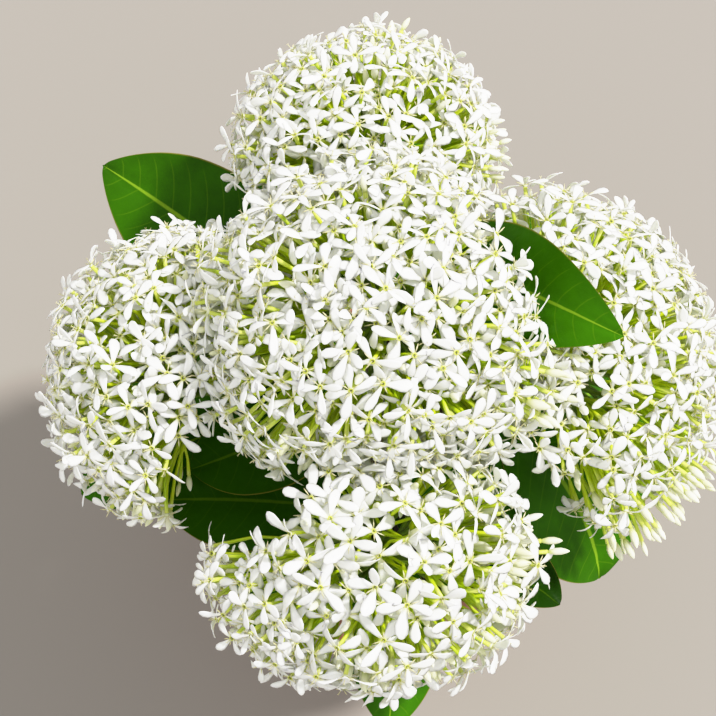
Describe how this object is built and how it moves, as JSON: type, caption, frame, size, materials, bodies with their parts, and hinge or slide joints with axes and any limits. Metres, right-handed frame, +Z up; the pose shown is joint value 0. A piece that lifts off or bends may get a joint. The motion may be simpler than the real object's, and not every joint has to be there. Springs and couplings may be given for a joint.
{
  "type": "potted ixora",
  "caption": "Potted white ixora: a clay pot of soil, a short woody trunk with leafy shoots, and a ball-shaped head of small four-petalled white flowers at the end of each shoot.",
  "frame": {"origin": "on the surface that the pot stands on, under the middle of the plant's box, on the pot's and the trunk's axis", "axes": "+Z up along the trunk, -Y towards the front head, +X towards the right head"},
  "size_m": [0.232, 0.2254, 0.324],
  "materials": {
    "clay": "matt, unglazed",
    "earth": "rough, damp",
    "bark": "rough, finely cracked",
    "young_bark": "satin",
    "stalk_green": "satin",
    "petal_white": "soft satin",
    "leaf_green": "glossy above, satin below"
  },
  "bodies": {
    "root": {"pot": "clay", "soil": "earth", "trunk": "bark", "shoot_central": "young_bark", "flower_stalk_central": "stalk_green", "flower_head_central": "petal_white", "shoot_left": "young_bark", "flower_stalk_left": "stalk_green", "flower_head_left": "petal_white", "shoot_right": "young_bark", "flower_stalk_right": "stalk_green", "flower_head_right": "petal_white", "shoot_back": "young_bark", "flower_stalk_back": "stalk_green", "flower_head_back": "petal_white", "shoot_front": "young_bark", "flower_stalk_front": "stalk_green", "flower_head_front": "petal_white", "leaf_central_1": "leaf_green", "leaf_central_2": "leaf_green", "leaf_central_3": "leaf_green", "leaf_central_4": "leaf_green", "leaf_central_5": "leaf_green", "leaf_central_6": "leaf_green", "leaf_left_1": "leaf_green", "leaf_left_2": "leaf_green", "leaf_left_3": "leaf_green", "leaf_left_4": "leaf_green", "leaf_right_1": "leaf_green", "leaf_right_2": "leaf_green", "leaf_right_3": "leaf_green", "leaf_right_4": "leaf_green", "leaf_back_1": "leaf_green", "leaf_back_2": "leaf_green", "leaf_back_3": "leaf_green", "leaf_back_4": "leaf_green", "leaf_back_5": "leaf_green", "leaf_front_1": "leaf_green", "leaf_front_2": "leaf_green", "leaf_front_3": "leaf_green", "leaf_front_4": "leaf_green"}
  },
  "joints": []
}
